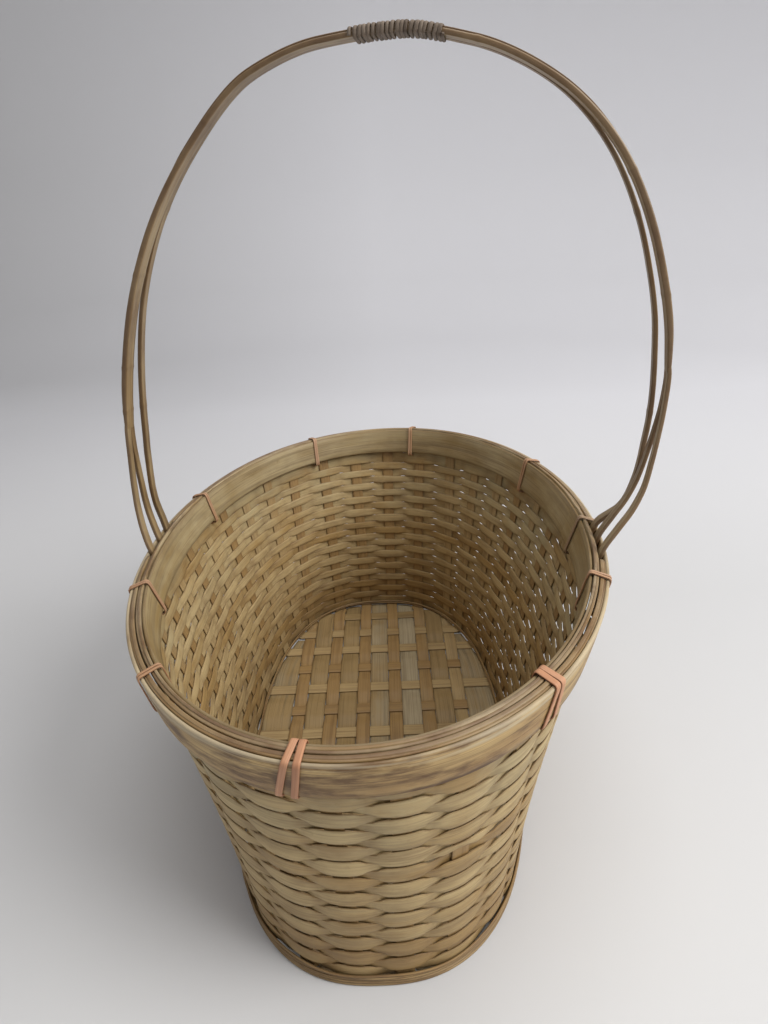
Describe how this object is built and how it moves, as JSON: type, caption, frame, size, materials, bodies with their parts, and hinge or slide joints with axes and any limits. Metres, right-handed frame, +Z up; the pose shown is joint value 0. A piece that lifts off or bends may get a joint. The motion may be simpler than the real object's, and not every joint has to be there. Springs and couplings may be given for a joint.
{
  "type": "woven market basket",
  "caption": "Oval woven bamboo market basket with flared walls, a lashed band rim and a tall bowed handle bound with cord at the top; holds shopping and is carried by the handle.",
  "frame": {"origin": "under the middle of the base, on the floor plane the basket rests on", "axes": "+Z up, +X towards the handle's right foot, -Y towards the front end of the basket; the basket is longest front to back along Y and the handle spans it along X"},
  "size_m": [0.3523, 0.4548, 0.4985],
  "materials": {
    "weaver_bamboo": "dry split bamboo with a thin worn whitewash",
    "stake_bamboo": "dry split bamboo, matt",
    "base_bamboo": "dry split bamboo, matt, brown in the gaps",
    "rim_bamboo": "smooth bamboo band, satin, whitewash rubbed in",
    "handle_bamboo": "satin bamboo, darker along the edges",
    "lashing_strip": "pink-dyed flat cane, matt",
    "wrap_cord": "waxed grey-brown cord, matt",
    "foot_cane": "reddish-brown round cane, matt"
  },
  "bodies": {
    "root": {"base_short_slat_back": "base_bamboo", "base_short_slat_front": "base_bamboo", "base_slat_01": "base_bamboo", "base_slat_02": "base_bamboo", "base_slat_03": "base_bamboo", "base_slat_04": "base_bamboo", "base_slat_05": "base_bamboo", "base_slat_06": "base_bamboo", "base_slat_07": "base_bamboo", "end_stake_01": "stake_bamboo", "end_stake_02": "stake_bamboo", "end_stake_03": "stake_bamboo", "end_stake_04": "stake_bamboo", "end_stake_05": "stake_bamboo", "end_stake_06": "stake_bamboo", "foot_round_lower": "foot_cane", "foot_round_upper": "foot_cane", "handle_bow_back": "handle_bamboo", "handle_bow_front": "handle_bamboo", "handle_cord_wrap": "wrap_cord", "handle_splint": "handle_bamboo", "lashing_back_left": "lashing_strip", "lashing_back_right": "lashing_strip", "lashing_front": "lashing_strip", "lashing_front_left": "lashing_strip", "lashing_front_right": "lashing_strip", "lashing_handle_right": "lashing_strip", "lashing_left": "lashing_strip", "lashing_left_back": "lashing_strip", "lashing_right": "lashing_strip", "lashing_right_back": "lashing_strip", "rim_band_inner": "rim_bamboo", "rim_band_outer": "rim_bamboo", "rim_filler_back": "rim_bamboo", "rim_filler_front": "rim_bamboo", "rim_filler_inner": "rim_bamboo", "side_stake_01": "stake_bamboo", "side_stake_02": "stake_bamboo", "side_stake_03": "stake_bamboo", "side_stake_04": "stake_bamboo", "side_stake_05": "stake_bamboo", "side_stake_06": "stake_bamboo", "side_stake_07": "stake_bamboo", "side_stake_08": "stake_bamboo", "side_stake_09": "stake_bamboo", "side_stake_10": "stake_bamboo", "side_stake_11": "stake_bamboo", "weaver_01": "weaver_bamboo", "weaver_02": "weaver_bamboo", "weaver_03": "weaver_bamboo", "weaver_04": "weaver_bamboo", "weaver_05": "weaver_bamboo", "weaver_06": "weaver_bamboo", "weaver_07": "weaver_bamboo", "weaver_08": "weaver_bamboo", "weaver_09": "weaver_bamboo", "weaver_10": "weaver_bamboo", "weaver_11": "weaver_bamboo", "weaver_12": "weaver_bamboo"}
  },
  "joints": []
}
